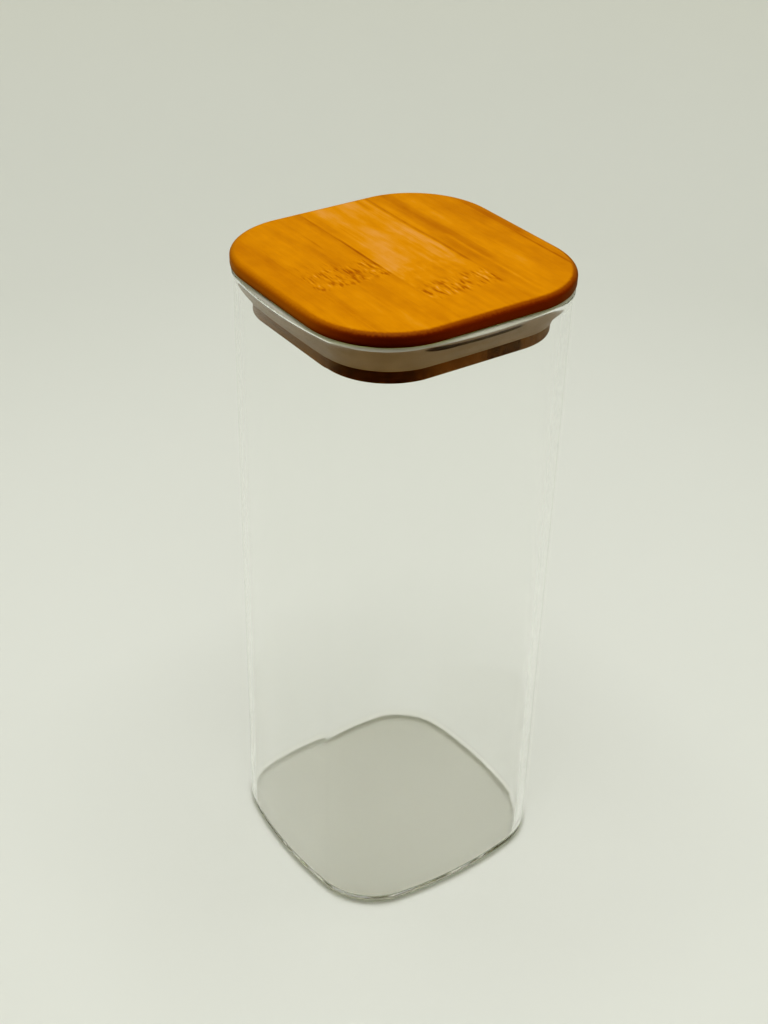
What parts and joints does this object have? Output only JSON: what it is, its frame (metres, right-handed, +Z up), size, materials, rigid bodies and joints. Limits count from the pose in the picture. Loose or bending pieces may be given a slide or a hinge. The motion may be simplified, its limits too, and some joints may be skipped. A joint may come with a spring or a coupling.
{
  "type": "square glass storage jar",
  "caption": "Tall square glass storage jar with rounded corners, a push-in three-ply bamboo lid with an overhanging plate, and a tapered silicone seal ring.",
  "frame": {"origin": "centre of the jar's foot, on the surface that it stands on", "axes": "+Z up the jar to the lid; +X along the grain of the lid's top strips; +Y across them"},
  "size_m": [0.1014, 0.1014, 0.2477],
  "materials": {
    "glass": "clear, very faint green tint, fire-polished rim",
    "bamboo_top": "satin oiled bamboo, caramel, grain along X",
    "bamboo_core": "bare bamboo, grain along Y",
    "bamboo_base": "satin bamboo, brown, grain along X",
    "silicone": "milky translucent silicone"
  },
  "bodies": {
    "jar": {"jar_glass": "glass"},
    "lid": {"lid_top_strip_1": "bamboo_top", "lid_top_strip_2": "bamboo_top", "lid_top_strip_3": "bamboo_top", "lid_top_strip_4": "bamboo_top", "lid_top_strip_5": "bamboo_top", "lid_core_strip_1": "bamboo_core", "lid_core_strip_2": "bamboo_core", "lid_core_strip_3": "bamboo_core", "lid_core_strip_4": "bamboo_core", "lid_base_strip_1": "bamboo_base", "lid_base_strip_2": "bamboo_base", "lid_base_strip_3": "bamboo_base", "lid_base_strip_4": "bamboo_base", "seal_ring": "silicone"}
  },
  "joints": [
    {"name": "lid_lift", "type": "slide", "parent": "jar", "child": "lid", "axis": [0, 0, 1], "range_m": [0, 0.06]}
  ]
}
